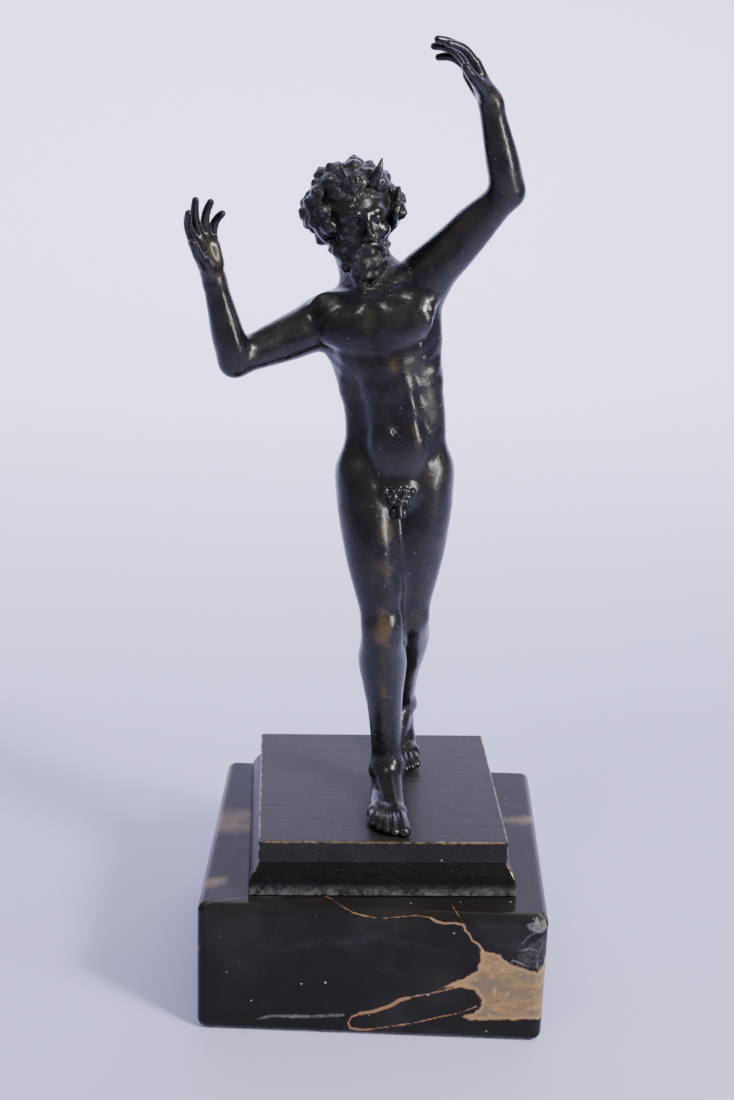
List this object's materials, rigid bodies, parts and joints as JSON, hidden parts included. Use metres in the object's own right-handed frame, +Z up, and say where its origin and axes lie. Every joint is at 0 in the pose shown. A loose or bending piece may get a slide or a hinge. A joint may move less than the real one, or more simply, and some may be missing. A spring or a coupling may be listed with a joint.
{
  "type": "dancing faun statuette",
  "caption": "Bronze dancing faun with raised arms on a square moulded bronze plinth, standing on a polished black veined marble block.",
  "frame": {"origin": "centre of the marble block's underside, on the surface it stands on", "axes": "+Z up along the figure, +X to the viewer's right across the block's front, +Y to the back; the figure faces -Y"},
  "size_m": [0.0959, 0.0862, 0.2507],
  "materials": {
    "faun_figure": "black-brown patinated bronze, waxed, rubbed golden brown on the high spots",
    "bronze_plinth": "dark patinated bronze with a brushed top and rubbed arrises",
    "marble_base": "polished black marble with ochre and pale veins"
  },
  "bodies": {
    "root": {"faun_figure": "faun_figure", "bronze_plinth": "bronze_plinth", "marble_base": "marble_base"}
  },
  "joints": []
}
